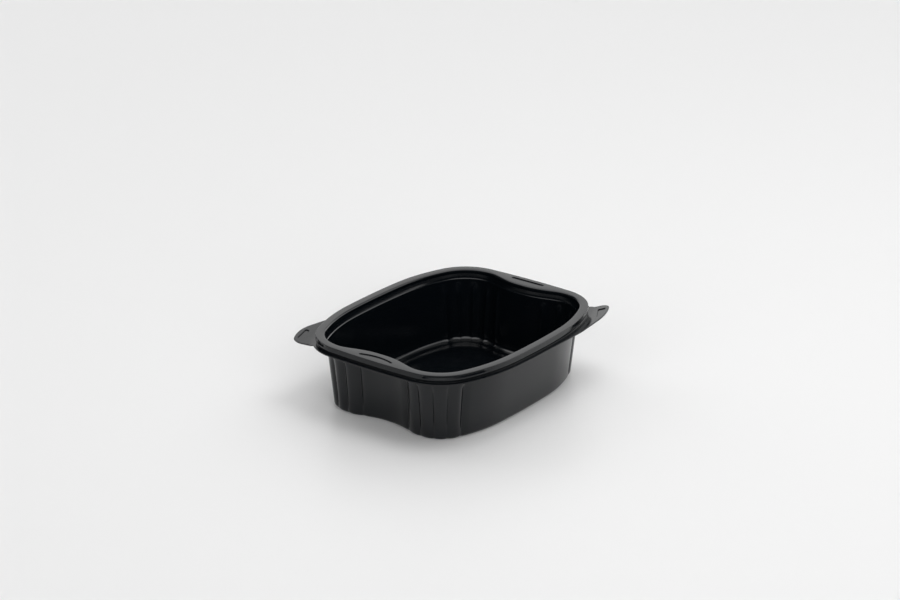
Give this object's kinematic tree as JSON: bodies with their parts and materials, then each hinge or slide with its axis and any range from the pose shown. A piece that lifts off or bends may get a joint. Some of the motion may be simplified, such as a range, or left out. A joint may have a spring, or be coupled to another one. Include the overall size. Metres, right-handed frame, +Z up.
{
  "type": "takeaway meal container",
  "caption": "Open black takeaway meal container, formed in one piece, with a flat rim, waisted ends with grip slots, corner lifting tabs and fluted corners",
  "frame": {"origin": "under the middle of the floor, on the plane it rests on", "axes": "+X runs along the long sides, towards one grip end; +Y runs towards a long side; +Z is up, out of the open mouth"},
  "size_m": [0.1956, 0.1596, 0.0543],
  "materials": {
    "black_plastic": "glossy black polypropylene"
  },
  "bodies": {
    "root": {"container": "black_plastic"}
  },
  "joints": []
}
